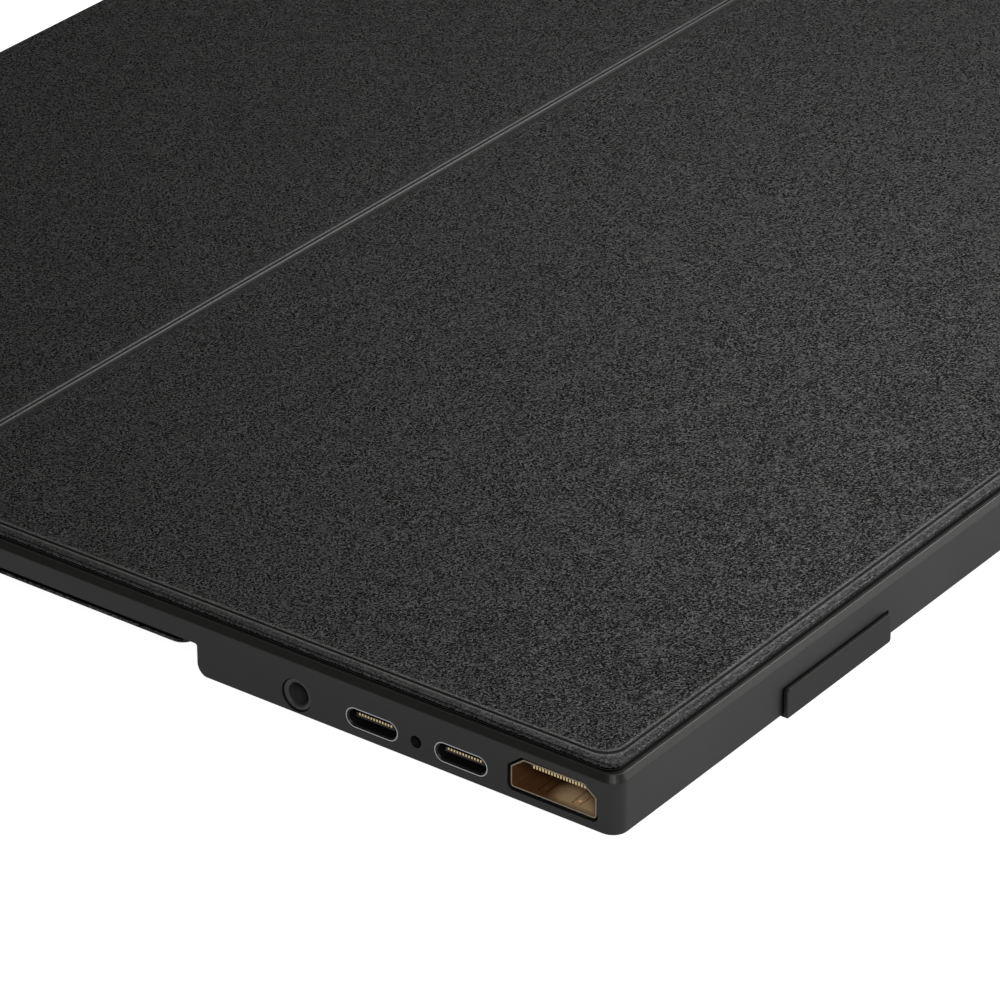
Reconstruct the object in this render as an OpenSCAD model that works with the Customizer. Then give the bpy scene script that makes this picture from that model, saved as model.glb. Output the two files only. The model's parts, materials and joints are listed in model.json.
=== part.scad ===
// Portable monitor lying on its back with a magnetic folio cover closed over
// its screen. X runs along the long edges, -Y is the edge with the feet, +Z is
// up. The body is drawn with y = 0 at its bottom edge wall and z = 0 at the floor
// of its bump, and place() then sets the whole object's box on the origin.

/* [Body] */
// Width of the body, from the port side to the button side
body_w = 356; // [346:1:366]
// Depth of the body, from its bottom edge to its top edge
body_d = 217.6; // [212:0.1:224]
// Thickness of the body over the electronics bump
body_h = 9.2; // [9:0.1:9.4]
// Thickness of the body over the screen area
thin_h = 4.2; // [4.1:0.1:4.5]
// Depth of the electronics bump
bump_d = 72.8; // [71:0.1:76]
// Radius of the upright corners
corner_r = 2.4; // [1.5:0.1:4]
// Radius of the round between the bump's floor and its rear wall
notch_r = 2; // [1:0.1:3]
// Radius along the edges of the bump's floor
edge_r = 0.15; // [0.1:0.05:0.8]
// Wall thickness of the housing
wall = 1.4; // [1.2:0.1:1.5]
// Floor thickness under the screen area
thin_floor = 1; // [0.8:0.1:1]

/* [Front frame and screen] */
// Width of the sloped rim
rim_w = 0.75; // [0.5:0.05:1]
// Height of the sloped rim
rim_h = 1.05; // [0.8:0.05:1.2]
// Width of the picture area
view_w = 344.2; // [336:0.1:345]
// Height of the picture area
view_d = 193.6; // [190:0.1:194]
// Depth of the bezel below the picture area
chin_d = 16.1; // [15:0.1:17]
// Thickness of the bezel lip over the panel
lip_t = 0.5; // [0.4:0.05:0.6]

/* [Ports] */
// Distance of the HDMI socket's middle from the bottom edge
hdmi_y = 10.8; // [10.4:0.1:11]
// Distance of the near USB-C socket's middle from the bottom edge
usb_near_y = 26.3; // [25.5:0.1:26.5]
// Distance of the far USB-C socket's middle from the bottom edge
usb_far_y = 41.7; // [41:0.1:42]
// Distance of the status light's middle from the bottom edge
light_y = 34; // [33.8:0.1:34.2]
// Distance of the audio jack's middle from the bottom edge
jack_y = 54.95; // [54:0.05:56]
// Height of the USB-C sockets' and the status light's middle
usb_z = 3; // [2.9:0.05:3.1]
// Height of the audio jack's middle
jack_z = 2.95; // [2.9:0.05:3.05]
// Diameter of the plug that the audio jack takes
jack_d = 3.5; // [3.5:0.1:3.6]

/* [Buttons] */
// Distance of the power button's middle from the bottom edge
power_y = 24; // [22:0.5:26]
// Distance of the menu rocker's middle from the bottom edge
rocker_y = 44; // [42:0.5:46]
// Height of both keys' middle
key_z = 3.6; // [3.5:0.1:3.7]
// Width of both keys
key_h = 2.8; // [2.4:0.1:2.8]

/* [Feet] */
// How far the rubber feet stand out of the bottom edge
foot_out = 0.7; // [0.4:0.05:1]
// How far the rubber feet stand below the floor of the bump
foot_under = 0.6; // [0.3:0.05:0.8]
// Length of a foot
foot_l = 26.7; // [15:0.1:40]
// Distance of a foot's outer end from the nearest corner
foot_in = 40.1; // [20:0.1:60]
// Height of a foot's upper edge over the floor of the bump
foot_top = 4.1; // [3:0.05:4.5]
// Clearance between a foot and the edge of its pocket
foot_gap = 0.25; // [0.1:0.05:0.4]

/* [Cover] */
// How far the cover stops short of the body's short sides
cover_in = 0.88; // [0.5:0.01:1.2]
// How far the cover stops short of the body's bottom edge
cover_front = 1.22; // [0.8:0.01:1.5]
// Distance of the crease from the bottom edge
crease_y = 131.6; // [120:0.1:140]
// Thickness of the leather
leather_t = 0.6; // [0.5:0.05:0.6]
// Thickness of the front panels' stiffening board
board_t = 0.4; // [0.4:0.05:0.5]
// Thickness of the microfibre lining
lining_t = 0.3; // [0.2:0.05:0.3]
// Thickness of the back flap's board, which holds the magnets
flap_board_t = 0.9; // [0.8:0.05:0.9]
// Gap between the body and the back flap's free edge and the bump
flap_gap = 2.8; // [2:0.1:4]
// Gap between the body's top edge and the spine
spine_gap = 1.2; // [0.8:0.05:1.2]
// Distance of the pressed border line from the leather's edge
border_in = 1.75; // [1.5:0.05:2.5]
// Width of the pressed border line
border_w = 0.4; // [0.3:0.05:0.6]

/* [Hidden] */
$fn = 40;

// Heights of the body
thin_z = body_h - thin_h;
seam_z = body_h - rim_h;
bump_floor = 1;
port_x = -body_w / 2;
key_x = body_w / 2;
inner_x = body_w / 2 - wall;

// Eased top line of the rim, and the groove that parts it from the bezel
rim_ease = 0.08;
groove_w = 0.15;
groove_t = 0.25;

// Heights of the panel's layers, from the bezel lip down
cell_t = 0.7;
backlight_t = 0.75;
back_plate_t = 0.2;
cell_z = body_h - lip_t - cell_t;
backlight_z = cell_z - backlight_t;
back_plate_z = backlight_z - back_plate_t;
panel_x = view_w / 2 + 2.5;
panel_y0 = chin_d - 5.2;
panel_y1 = chin_d + view_d + 2.8;

// Main board, on the bump's floor posts
board_z = 4.65;
pcb_t = 0.8;
board_x1 = port_x + 84;
board_y1 = 68;
post_r = 2.2;
screw_r = 0.8;
board_posts = [[port_x + 22, 8], [port_x + 79, 8], [port_x + 22, 63], [port_x + 79, 63]];

// HDMI socket, width and height of the folded shell outside
hdmi_w = 14.3;
hdmi_h = 4.9;
hdmi_z = 1.75;
hdmi_l = 11;
hdmi_wall = 0.18;
hdmi_slope = [2.1, 1.65];
hdmi_r = 0.5;
hdmi_recess = 0.25;
hdmi_gap = 0.42;
hdmi_tab_w = 1.3;

// USB-C socket
usb_w = 9.1;
usb_h = 3.2;
usb_wall = 0.15;
usb_l = 7.4;
usb_liner = [8.34, 2.56];
usb_pitch = 0.5;
usb_tongue_t = 0.7;

// Audio jack
jack_ring_r = 2.42;
jack_recess = 0.3;
jack_l = 13;
jack_body_w = 6.2;

// Feet: how deep they are let into the wall and the floor, and how far they
// reach under the bump, the rounds of their ends and of their front edges
foot_mid = body_w / 2 - foot_in - foot_l / 2;
foot_let_in = 0.6;
foot_floor = 0.4;
foot_wrap = 5.5;
foot_r = 0.5;
foot_edge = 0.12;

// Speakers
speaker_x = 68;
speaker_w = 40;
speaker_y = [30, 62];

// Cover
cover_x = body_w / 2 - cover_in;
cover_r = 2.2;
layer_in = 0.25;
cover_z = body_h + lining_t + board_t;
cover_top = cover_z + leather_t;
spine_y = body_d + spine_gap + lining_t + leather_t * 2;
fold_y = spine_y - 0.55;
flap_y0 = bump_d + flap_gap;
flap_z = thin_z - lining_t - flap_board_t - leather_t;
flap_fold_z = flap_z + 0.5;
cover_fold_z = cover_top - 0.5;
crease_z = cover_top - 0.3;
crease_gap = 0.15;
crease_w = 0.65;
fold_gap = 0.2;

// The object's own depth, with the feet in front and the spine behind
front_y = foot_out - (spine_y + foot_out) / 2;

module place() {
    translate([0, front_y, foot_under]) children();
}

// Points of an arc
function arc(c, r, a0, a1, n = 8) =
    [for (i = [0:n]) let (a = a0 + (a1 - a0) * i / n) [c[0] + r * cos(a), c[1] + r * sin(a)]];

// Anticlockwise outline of a rounded rectangle
function round_rect(x0, x1, y0, y1, r) = concat(
    arc([x1 - r, y0 + r], r, -90, 0), arc([x1 - r, y1 - r], r, 0, 90),
    arc([x0 + r, y1 - r], r, 90, 180), arc([x0 + r, y0 + r], r, 180, 270));

// Outline of the body, taken in by d
function body_plan(d) =
    round_rect(d - body_w / 2, body_w / 2 - d, d, body_d - d, corner_r - d * 0.6);

// Outline of the cover, taken in by d; its far end reaches y1
function cover_plan(d, y1) =
    round_rect(d - cover_x, cover_x - d, cover_front + d, y1, cover_r - d * 0.6);

// Rise and inset along a quarter round of radius r
function quarter(r, n = 4) = [for (i = [0:n]) [r * (1 - cos(90 * i / n)), r * (1 - sin(90 * i / n))]];

// Solid through a stack of outlines that have the same number of points
module rings(levels) {
    n = len(levels[0][1]);
    m = len(levels);
    polyhedron(
        points = [for (level = levels) for (p = level[1]) [p[0], p[1], level[0]]],
        faces = concat(
            [[for (i = [0:n - 1]) i]],
            [[for (i = [n - 1:-1:0]) (m - 1) * n + i]],
            [for (k = [0:m - 2]) for (i = [0:n - 1])
                [k * n + i, (k + 1) * n + i, (k + 1) * n + (i + 1) % n, k * n + (i + 1) % n]]));
}

// Flat slab with an outline, between two heights
module slab(outline, z0, z1) {
    translate([0, 0, z0]) linear_extrude(z1 - z0) polygon(outline);
}

// Box between two corners
module block(a, b) {
    translate(a) cube(b - a);
}

// Bar of a side profile, drawn as [y, z], from x along +X
module along_x(x, l) {
    translate([x, 0, 0]) rotate([90, 0, 90]) linear_extrude(l) children();
}

// Flat oval, w long over its round ends and h high
module oval(w, h) {
    square([w - h, h], center = true);
    for (s = [-1, 1]) translate([s * (w - h) / 2, 0]) circle(h / 2);
}

// ---- Housing -------------------------------------------------------------

// Side profile of the body: bump, round notch and thin screen part
function side_profile() = concat(
    [[-2, 0]], arc([bump_d - notch_r, notch_r], notch_r, -90, 0),
    arc([bump_d + 0.4, thin_z - 0.4], 0.4, 180, 90, 3),
    arc([body_d - edge_r, thin_z + edge_r], edge_r, -90, 0, 4),
    [[body_d, seam_z - 0.5], [body_d + 2, seam_z - 0.5], [body_d + 2, seam_z], [-2, seam_z]]);

module housing_block() {
    intersection() {
        rings(concat([for (q = quarter(edge_r)) [q[0], body_plan(q[1])]],
            [[seam_z + 1, body_plan(0)]]));
        along_x(-body_w / 2 - 1, body_w + 2) polygon(side_profile());
    }
}

module housing_cavity() {
    slab(round_rect(-inner_x, inner_x, wall, bump_d - wall, 1.2), bump_floor, body_h);
    slab(round_rect(-inner_x, inner_x, wall, body_d - wall, 1.2), thin_z + thin_floor, body_h);
}

// Section of the HDMI shell, grown by g all round
module hdmi_section(g) {
    w = hdmi_w / 2 + g;
    h = hdmi_h + g;
    r = hdmi_r + g;
    polygon(concat(arc([r - w, r - g], r, 180, 270, 4), arc([w - r, r - g], r, 270, 360, 4),
        [[w, h - hdmi_slope[1] - g * 0.5], [w - hdmi_slope[0] - g * 0.5, h],
        [hdmi_slope[0] + g * 0.5 - w, h], [-w, h - hdmi_slope[1] - g * 0.5]]));
}

module port_cuts() {
    along_x(port_x - 1, wall + 2) {
        translate([hdmi_y, hdmi_z]) hdmi_section(hdmi_gap);
        for (y = [usb_near_y, usb_far_y]) translate([y, usb_z]) oval(usb_w + 0.1, usb_h + 0.1);
    }
    for (hole = [[light_y, usb_z, 0.95], [jack_y, jack_z, jack_ring_r + 0.18]])
        translate([port_x - 1, hole[0], hole[1]]) rotate([0, 90, 0]) cylinder(wall + 2, r = hole[2]);
    // Pocket in the floor, under the jack's body
    block([port_x + wall - 0.5, jack_y - jack_body_w / 2 - 0.1, 0.3],
        [port_x + jack_l + 0.2, jack_y + jack_body_w / 2 + 0.1, 2]);
}

module key_cuts() {
    along_x(key_x - wall - 1, wall + 2) {
        translate([power_y, key_z]) oval(9.5, key_h + 0.5);
        translate([rocker_y, key_z]) oval(18.5, key_h + 0.5);
    }
}

// Pockets for the feet, in the bottom edge's wall and round into the floor
module foot_pockets() {
    for (s = [-1, 1]) translate([s * foot_mid, 0, 0]) {
        x = foot_l / 2 + foot_gap;
        block([-x, -1, -1], [x, foot_let_in, foot_top + foot_gap]);
        block([-x, -1, -1], [x, foot_wrap + foot_gap, foot_floor]);
    }
}

// Slots under one speaker
module speaker_slots(x) {
    for (i = [0:6]) translate([x - 15 + i * 5, (speaker_y[0] + speaker_y[1]) / 2, -1])
        rotate([0, 0, 90]) linear_extrude(bump_floor + 2) oval(16, 1.4);
}

module housing_ribs() {
    rib = 0.7;
    top = back_plate_z - 0.1;
    for (x = [-120, -40, 40, 120])
        block([x - rib / 2, bump_d + 6, thin_z + 0.5], [x + rib / 2, body_d - 8, top]);
    for (y = [112, 150, 188])
        block([-inner_x + 8, y - rib / 2, thin_z + 0.5], [inner_x - 8, y + rib / 2, top]);
    for (x = [-70, 20, 110]) block([x - rib / 2, wall - 0.5, 0.5], [x + rib / 2, 7, 5.5]);
    for (x = [-24, 24, 108, 140])
        block([x - rib / 2, bump_d - 14, 0.5], [x + rib / 2, bump_d - wall + 0.5, 5.5]);
}

module rear_housing() {
    color("#34332f") place() difference() {
        union() {
            difference() {
                housing_block();
                housing_cavity();
            }
            housing_ribs();
            for (p = board_posts) translate([p[0], p[1], 0.5]) cylinder(board_z - 0.5, r = post_r);
        }
        port_cuts();
        key_cuts();
        foot_pockets();
        for (x = [-speaker_x, speaker_x]) speaker_slots(x);
        for (p = board_posts) translate([p[0], p[1], bump_floor]) cylinder(board_z, r = screw_r);
    }
}

// Bezel with the sloped rim and a fine groove inside it, a locating tongue
// inside the housing's walls and a step that holds the panel
module front_frame() {
    view = round_rect(-view_w / 2, view_w / 2, chin_d, chin_d + view_d, 0.5);
    tongue = wall + 0.1;
    color("#3a3934") place() difference() {
        union() {
            rings([[seam_z, body_plan(0)], [body_h - rim_ease, body_plan(rim_w - rim_ease)],
                [body_h, body_plan(rim_w + rim_ease)]]);
            slab(body_plan(tongue), seam_z - 0.9, seam_z + 0.2);
        }
        slab(view, seam_z - 2, body_h + 1);
        slab(round_rect(-panel_x, panel_x, panel_y0, panel_y1, 0.5), seam_z - 2, cell_z + cell_t);
        slab(body_plan(tongue + 0.9), seam_z - 2, seam_z);
        difference() {
            slab(body_plan(rim_w + rim_ease), body_h - groove_t, body_h + 1);
            slab(body_plan(rim_w + rim_ease + groove_w), body_h - 1, body_h + 2);
        }
        for (x = [-160, 160]) slab(round_rect(x - 6, x + 6, 3, 9.2, 0.5), seam_z - 1, seam_z + 0.3);
    }
}

// ---- Screen --------------------------------------------------------------

module panel_layer(z, t, d = 0.1) {
    slab(round_rect(d - panel_x, panel_x - d, panel_y0 + d, panel_y1 - d, 0.4), z, z + t);
}

module display_panel() {
    color("#0d0e10") place() panel_layer(cell_z, cell_t);
}

// Light guide and film stack, in from its tray's edge to leave room for the lamps
module backlight() {
    color("#e9ecef") place() slab(round_rect(1 - panel_x, panel_x - 1, panel_y0 + 4, panel_y1 - 1, 0.4),
        backlight_z, cell_z);
}

// Row of lamps on their strip, along the light guide's lower edge
module led_bar() {
    color("#f3e9b0") place() {
        block([2 - panel_x, panel_y0 + 1, backlight_z], [panel_x - 2, panel_y0 + 2.6, backlight_z + 0.25]);
        for (i = [-14:14]) block([i * 11.6 - 1.5, panel_y0 + 2.7, backlight_z],
            [i * 11.6 + 1.5, panel_y0 + 3.9, backlight_z + 0.6]);
    }
}

module panel_back_plate() {
    color("#aab0b4") place() panel_layer(back_plate_z, back_plate_t);
}

driver_z = back_plate_z + 0.1;
flex_x = -130;
flex_w = 14;
flex_t = 0.12;
flex_y = 9.4;

// Driver board in front of the panel, with its chips and the flat cable's socket below it
module driver_board() {
    color("#1d5a34") place() {
        block([-140, 3.2, driver_z], [90, panel_y0 - 0.5, driver_z + 0.5]);
        for (x = [-100, -60, -10, 50]) block([x, 5, driver_z - 0.8], [x + 9, 8.5, driver_z]);
        block([flex_x - 1, 5.4, driver_z - 0.6], [flex_x + flex_w + 1, flex_y, driver_z]);
    }
}

// Flat cable from the driver board down to the main board's socket
module flex_cable() {
    z0 = board_z + pcb_t;
    z1 = driver_z - 0.3;
    color("#c98a3a") place() along_x(flex_x, flex_w)
        polygon([[flex_y, z1], [flex_y, z1 - flex_t], [13, z1 - flex_t], [21, z0], [25, z0],
            [25, z0 + flex_t], [21.1, z0 + flex_t], [13.1, z1]]);
}

// ---- Electronics ---------------------------------------------------------

module main_board() {
    z = board_z;
    color("#1b6b3f") place() difference() {
        union() {
            slab(round_rect(port_x + wall + 0.4, board_x1, 3, board_y1, 1), z, z + pcb_t);
            block([port_x + 34, 34, z - 1.6], [port_x + 46, 46, z]);
            block([port_x + 54, 22, z - 1.2], [port_x + 62, 30, z]);
            block([port_x + 30, 14, z - 1.2], [port_x + 38, 22, z]);
            for (i = [0:3]) block([port_x + 54 + i * 6, 40, z - 1.4], [port_x + 58 + i * 6, 44, z]);
            block([-134, 25, z + pcb_t], [-114, 29, z + pcb_t + 0.8]);
        }
        // Sunk sockets: the board is cut away round their bodies
        block([port_x, 0, z - 2], [port_x + hdmi_l + 1, hdmi_y + hdmi_w / 2 + 0.4, z + 2]);
        block([port_x, jack_y - jack_body_w / 2 - 0.2, z - 2],
            [port_x + jack_l + 0.3, jack_y + jack_body_w / 2 + 0.2, z + 2]);
        for (p = board_posts) translate([p[0], p[1], z - 1]) cylinder(pcb_t + 2, r = screw_r + 0.3);
    }
}

module board_screws() {
    color("#b9bcc0") place() for (p = board_posts) translate([p[0], p[1], 0]) difference() {
        union() {
            translate([0, 0, board_z + pcb_t]) cylinder(0.9, r = 1.9);
            translate([0, 0, board_z - 2.6]) cylinder(3.6, r = screw_r - 0.02);
        }
        for (a = [0, 90]) rotate([0, 0, a]) translate([-1, -0.2, board_z + pcb_t + 0.5]) cube([2, 0.4, 1]);
    }
}

// Folded shell with two sprung tabs cut out of its floor
module hdmi_shell() {
    tab_y = [-2.8, 2.8];
    slot = 0.24;
    color("#b58a4c") place() translate([0, hdmi_y, hdmi_z]) {
        difference() {
            along_x(port_x + hdmi_recess, hdmi_l) difference() {
                hdmi_section(0);
                hdmi_section(-hdmi_wall);
            }
            for (y = tab_y) for (s = [-1, 1])
                block([port_x + 1.5, y + s * hdmi_tab_w / 2 - slot / 2, -1],
                    [port_x + 8, y + s * hdmi_tab_w / 2 + slot / 2, hdmi_wall + 0.2]);
            for (y = tab_y) block([port_x + 1.5, y - hdmi_tab_w / 2, -1],
                [port_x + 1.5 + slot, y + hdmi_tab_w / 2, hdmi_wall + 0.2]);
        }
        // Dimple that presses on the plug
        for (y = tab_y) translate([port_x + 2.6, y, hdmi_wall - 0.1]) cylinder(0.3, r = 0.35);
    }
}

tongue_x = port_x + 2.1;
tongue_z = hdmi_z + 2.95;
tongue_t = 0.9;
tongue_w = 10.4;

module hdmi_tongue() {
    color("#141414") place() {
        along_x(port_x + hdmi_recess + hdmi_l - 2.6, 2.6)
            translate([hdmi_y, hdmi_z]) hdmi_section(-hdmi_wall - 0.02);
        block([tongue_x, hdmi_y - tongue_w / 2, tongue_z],
            [port_x + hdmi_l - 2, hdmi_y + tongue_w / 2, tongue_z + tongue_t]);
    }
}

// Ten contacts under the tongue and nine on it, half a pitch apart, with their
// tips turned over the tongue's front edge
module hdmi_contacts() {
    w = 0.28;
    t = 0.1;
    l = 6.4;
    tip = 0.38;
    color("#e8c26a") place() {
        for (i = [0:9]) translate([tongue_x - t, hdmi_y - 4.5 + i - w / 2, tongue_z - t]) {
            cube([l, w, t]);
            cube([t, w, t + tip]);
        }
        for (i = [0:8]) translate([tongue_x - t, hdmi_y - 4 + i - w / 2, tongue_z]) {
            translate([0, 0, tongue_t]) cube([l, w, t]);
            translate([0, 0, -t]) cube([t, w, tongue_t + t * 2]);
        }
    }
}

module usb_shell(y) {
    along_x(port_x + 0.05, usb_l) translate([y, usb_z]) difference() {
        oval(usb_w, usb_h);
        oval(usb_w - 2 * usb_wall, usb_h - 2 * usb_wall);
    }
}

// Tongue on its back plate, with the liner that fills the shell round it
module usb_tongue(y) {
    liner_x = 0.35;
    along_x(port_x + usb_l - 1.6, 1.6) translate([y, usb_z])
        oval(usb_w - 2 * usb_wall - 0.04, usb_h - 2 * usb_wall - 0.04);
    along_x(port_x + liner_x, usb_l - liner_x) translate([y, usb_z]) difference() {
        oval(usb_w - 2 * usb_wall - 0.04, usb_h - 2 * usb_wall - 0.04);
        oval(usb_liner[0], usb_liner[1]);
    }
    block([port_x + 1, y - 3.35, usb_z - usb_tongue_t / 2],
        [port_x + usb_l - 1, y + 3.35, usb_z + usb_tongue_t / 2]);
}

// Twelve contacts on each face of the tongue; the upper ones turn down over its front edge
module usb_contacts(y) {
    w = 0.26;
    t = 0.07;
    half = usb_tongue_t / 2;
    for (i = [0:11]) translate([port_x + 1, y + (i - 5.5) * usb_pitch, usb_z]) {
        block([-t, -w / 2, half], [4.2, w / 2, half + t]);
        block([-t, -w / 2, half - 0.3], [0, w / 2, half + t]);
        block([0.4, -w / 2, -half - t], [4.2, w / 2, -half]);
    }
}

module usb_c_near_shell() {
    color("#c9ccd0") place() usb_shell(usb_near_y);
}

module usb_c_near_tongue() {
    color("#161616") place() usb_tongue(usb_near_y);
}

module usb_c_near_contacts() {
    color("#e8d9a8") place() usb_contacts(usb_near_y);
}

module usb_c_far_shell() {
    color("#c9ccd0") place() usb_shell(usb_far_y);
}

module usb_c_far_tongue() {
    color("#161616") place() usb_tongue(usb_far_y);
}

module usb_c_far_contacts() {
    color("#e8d9a8") place() usb_contacts(usb_far_y);
}

// Jack body with its ring set back in the housing's wall and a true bore for the plug
module audio_jack() {
    color("#2a2a2c") place() translate([port_x, jack_y, jack_z]) difference() {
        union() {
            translate([jack_recess, 0, 0]) rotate([0, 90, 0])
                cylinder(wall + 1 - jack_recess, r = jack_ring_r);
            block([wall + 0.1, -jack_body_w / 2, -2.35], [jack_l, jack_body_w / 2, 2.4]);
        }
        translate([-0.5, 0, 0]) rotate([0, 90, 0]) cylinder(jack_l - 0.7, r = jack_d / 2);
        translate([jack_recess - 0.01, 0, 0]) rotate([0, 90, 0])
            cylinder(0.21, r1 = jack_d / 2 + 0.25, r2 = jack_d / 2);
        for (s = [-1, 1]) block([4, s * 2.5 - 0.25, -0.8], [9, s * 2.5 + 0.25, 0.8]);
    }
}

// Leaf contacts in the jack's side slots
module jack_springs() {
    color("#d8c088") place() translate([port_x, jack_y, jack_z]) for (s = [-1, 1])
        block([4.3, s * 2.5 - 0.1, -0.6], [8.7, s * 2.5 + 0.1, 0.6]);
}

// Light pipe behind the small hole between the USB-C sockets
module status_light() {
    color("#3b3b3f") place() translate([port_x, light_y, usb_z]) rotate([0, 90, 0]) {
        translate([0, 0, 1.25]) cylinder(2.45, r = 0.85);
        translate([0, 0, wall + 0.1]) cylinder(1.6, r = 1.4);
    }
}

module speaker(x) {
    color("#202124") place() difference() {
        slab(round_rect(x - speaker_w / 2, x + speaker_w / 2, speaker_y[0], speaker_y[1], 3), 1.1, 5.3);
        translate([x, (speaker_y[0] + speaker_y[1]) / 2, 0]) linear_extrude(1.9) oval(34, 18);
    }
}

module speaker_left() {
    speaker(-speaker_x);
}

module speaker_right() {
    speaker(speaker_x);
}

// ---- Keys ----------------------------------------------------------------

switch_x = key_x - 7.2;
switch_t = 2;
rocker_pivot_x = key_x - 2.8;
rocker_stem = 6;
cap_x = key_x - 0.05;
arm_z = [key_z - 2.1, key_z + 1.5];
arm_t = 0.6;

// Upright board that carries the three switches
module switch_board() {
    color("#1b6b3f") place() block([switch_x - 0.8, power_y - 8, 1.1], [switch_x, rocker_y + 11, 6.4]);
}

module tact_switches() {
    color("#8d9094") place() for (y = [power_y, rocker_y - rocker_stem, rocker_y + rocker_stem]) {
        block([switch_x, y - 1.7, key_z - 1.5], [switch_x + switch_t, y + 1.7, key_z + 1.5]);
        translate([switch_x + switch_t, y, key_z]) rotate([0, 90, 0]) cylinder(0.5, r = 0.8);
    }
}

// Moulded yoke that holds the rocker's pin above and below it
module key_bracket() {
    color("#2b2b2d") place() difference() {
        union() {
            block([switch_x, rocker_y - 2, arm_z[0]], [switch_x + 1.2, rocker_y + 2, arm_z[1] + arm_t]);
            for (z = arm_z) block([switch_x, rocker_y - 2, z], [rocker_pivot_x + 1.2, rocker_y + 2, z + arm_t]);
        }
        translate([rocker_pivot_x, rocker_y, 0]) cylinder(8, r = 0.53);
    }
}

module rocker_pin() {
    color("#b9bcc0") place() translate([rocker_pivot_x, rocker_y, arm_z[0] - 0.2]) cylinder(4.6, r = 0.5);
}

// Key cap with a retaining flange inside the wall and a stem to its switch
module power_button() {
    color("#2b2a28") place() {
        along_x(key_x - wall - 0.6, cap_x - key_x + wall + 0.6) translate([power_y, key_z]) oval(9, key_h);
        along_x(key_x - wall - 1.1, 0.8) translate([power_y, key_z]) oval(11, key_h + 1);
        along_x(key_x - 4.1, 2) translate([power_y, key_z]) circle(0.9);
    }
}

// Rocker key on its barrel, with a stem over each switch
module menu_rocker() {
    color("#2b2a28") place() difference() {
        union() {
            along_x(key_x - wall - 0.9, cap_x - key_x + wall + 0.9) translate([rocker_y, key_z])
                oval(18, key_h);
            translate([rocker_pivot_x, rocker_y, key_z - 1.3]) cylinder(2.6, r = 1.1);
            for (s = [-1, 1]) translate([0, rocker_y + s * rocker_stem, key_z])
                along_x(key_x - 4.1, 2.2) circle(0.8);
        }
        translate([rocker_pivot_x, rocker_y, 0]) cylinder(8, r = 0.56);
    }
}

// ---- Feet and magnets ----------------------------------------------------

// Rubber foot let into the bottom edge, that turns round the edge and runs on
// under the bump
module foot(s) {
    color("#2f2f2e") place() translate([s * foot_mid, 0, 0]) intersection() {
        along_x(-foot_l / 2, foot_l) polygon(concat(
            arc([foot_edge - foot_out, foot_top - foot_edge], foot_edge, 90, 180, 3),
            arc([foot_edge - foot_out, foot_edge - foot_under], foot_edge, 180, 270, 3),
            [[foot_wrap, -foot_under], [foot_wrap, foot_floor], [foot_let_in, foot_floor],
            [foot_let_in, foot_top]]));
        rotate([90, 0, 0]) translate([0, 0, -foot_wrap - 1]) linear_extrude(foot_wrap + foot_out + 2)
            polygon(round_rect(-foot_l / 2, foot_l / 2, -foot_under, foot_top, foot_r));
    }
}

module foot_left() {
    foot(-1);
}

module foot_right() {
    foot(1);
}

module housing_magnets() {
    color("#9aa0a6") place() for (x = [-150, -80, 0, 80, 150]) for (y = [96, 204])
        block([x - 10, y - 4, thin_z + thin_floor], [x + 10, y + 4, thin_z + thin_floor + 0.8]);
}

module frame_magnets() {
    color("#9aa0a6") place() for (x = [-160, 160])
        slab(round_rect(x - 5.8, x + 5.8, 3.2, 9, 0.4), seam_z - 0.7, seam_z + 0.28);
}

// ---- Cover ---------------------------------------------------------------

// Side profile of a front panel between y0 and y1, bevelled along the crease
// so that the fold has room
function panel_profile(y0, y1, z0, z1) = [[y0, z0], [y1, z0], [y1, z1], [y0, z1]];

function upper_profile() = concat([[crease_y + crease_gap, cover_z - 0.1],
    [fold_y - fold_gap, cover_z - 0.1]], arc([fold_y - fold_gap - 0.4, cover_top - 0.4], 0.4, 0, 90, 4),
    [[crease_y + crease_w, cover_top], [crease_y + crease_gap, crease_z]]);

function lower_profile() = [[cover_front - 1, cover_z - 0.1], [crease_y - crease_gap, cover_z - 0.1],
    [crease_y - crease_gap, crease_z], [crease_y - crease_w, cover_top], [crease_y - crease_w, cover_top + 1],
    [cover_front - 1, cover_top + 1]];

// Leather of the whole front, with eased edges and the pressed border line
module front_leather() {
    e = 0.25;
    difference() {
        rings([[cover_z, cover_plan(0, spine_y)], [cover_top - e, cover_plan(0, spine_y)],
            [cover_top - e * 0.3, cover_plan(e * 0.3, spine_y)], [cover_top, cover_plan(e, spine_y)]]);
        difference() {
            slab(cover_plan(border_in - border_w / 2, spine_y + 2), cover_top - 0.12, cover_top + 1);
            slab(cover_plan(border_in + border_w / 2, spine_y + 3), cover_top - 1, cover_top + 2);
        }
    }
}

// Flat layer of a front panel, between two depths
module front_layer(y0, y1, z, t) {
    intersection() {
        slab(cover_plan(layer_in, body_d + 6), z, z + t);
        block([-body_w, y0, z - 1], [body_w, y1, z + t + 1]);
    }
}

module upper_leather() {
    color("#33322f") place() intersection() {
        front_leather();
        along_x(-body_w, body_w * 2) polygon(upper_profile());
    }
}

module upper_board() {
    color("#1a1a1a") place() front_layer(crease_y + crease_gap + 0.5, body_d - 1, body_h + lining_t, board_t);
}

module upper_lining() {
    color("#4a4a4c") place() front_layer(crease_y + crease_gap, body_d - 0.4, body_h, lining_t);
}

module lower_leather() {
    color("#33322f") place() intersection() {
        front_leather();
        along_x(-body_w, body_w * 2) polygon(lower_profile());
    }
}

// Places of the closing magnets, along the free edge
lower_magnet_x = [-160, 160];

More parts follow.
